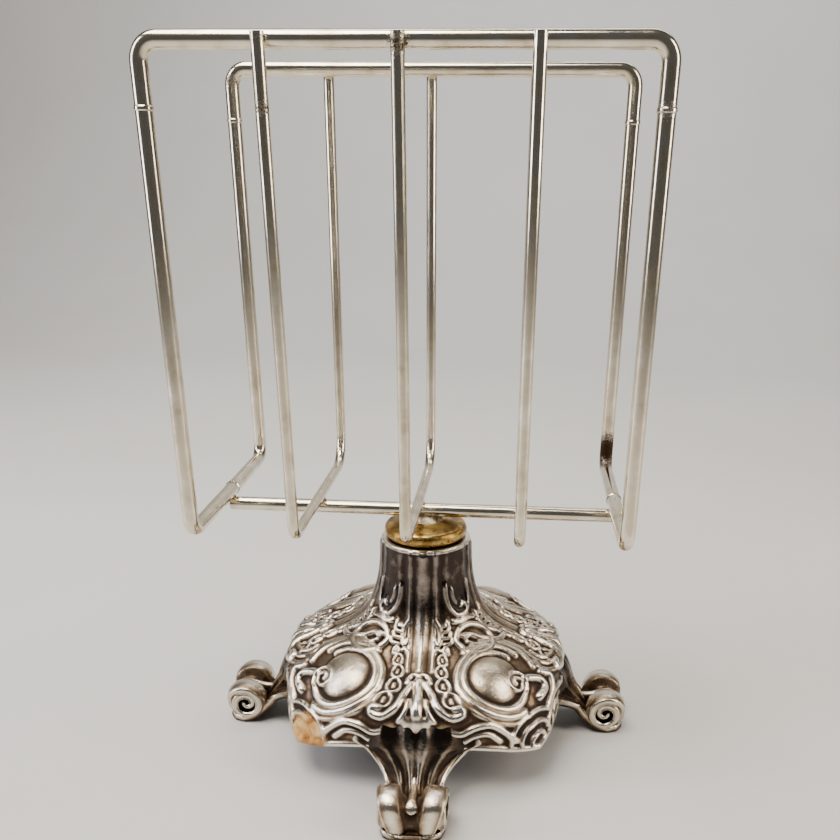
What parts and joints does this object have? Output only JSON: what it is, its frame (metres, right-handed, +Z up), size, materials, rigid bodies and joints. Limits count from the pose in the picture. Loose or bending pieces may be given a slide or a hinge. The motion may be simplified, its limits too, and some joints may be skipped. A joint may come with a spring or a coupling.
{
  "type": "brochure rack",
  "caption": "Table-top brochure rack: a bent-wire pocket that turns on an ornate cast foot with scroll feet.",
  "frame": {"origin": "on the floor under the foot's turning axis, the middle of the whole footprint", "axes": "+Z up along the turning axis, -Y is the front of the wire pocket, +X to the right along its width"},
  "size_m": [0.1998, 0.1998, 0.3021],
  "materials": {
    "foot_metal": "antique silvered casting, dark in the recesses and worn bright on the relief",
    "nickel": "aged warm nickel plate on steel rod",
    "brass": "tarnished polished brass",
    "steel": "plain zinc-plated steel",
    "solder": "dull tin solder",
    "weld": "scorched weld bead"
  },
  "bodies": {
    "foot": {"foot_casting": "foot_metal"},
    "rack": {"brass_cap": "brass", "lamp_pipe": "steel", "pipe_washer": "steel", "pipe_nut": "steel", "cap_solder": "solder", "crossbar": "nickel", "front_top_rail": "nickel", "back_top_rail": "nickel", "front_left_upright": "nickel", "front_right_upright": "nickel", "back_left_upright": "nickel", "back_right_upright": "nickel", "left_wire": "nickel", "centre_wire": "nickel", "right_wire": "nickel", "butt_welds": "weld", "rail_welds": "weld", "crossbar_welds": "weld"}
  },
  "joints": [
    {"name": "rack_turn", "type": "hinge", "parent": "foot", "child": "rack", "pos_m": [0, 0, 0.0993], "axis": [0, 0, 1], "continuous": true}
  ]
}
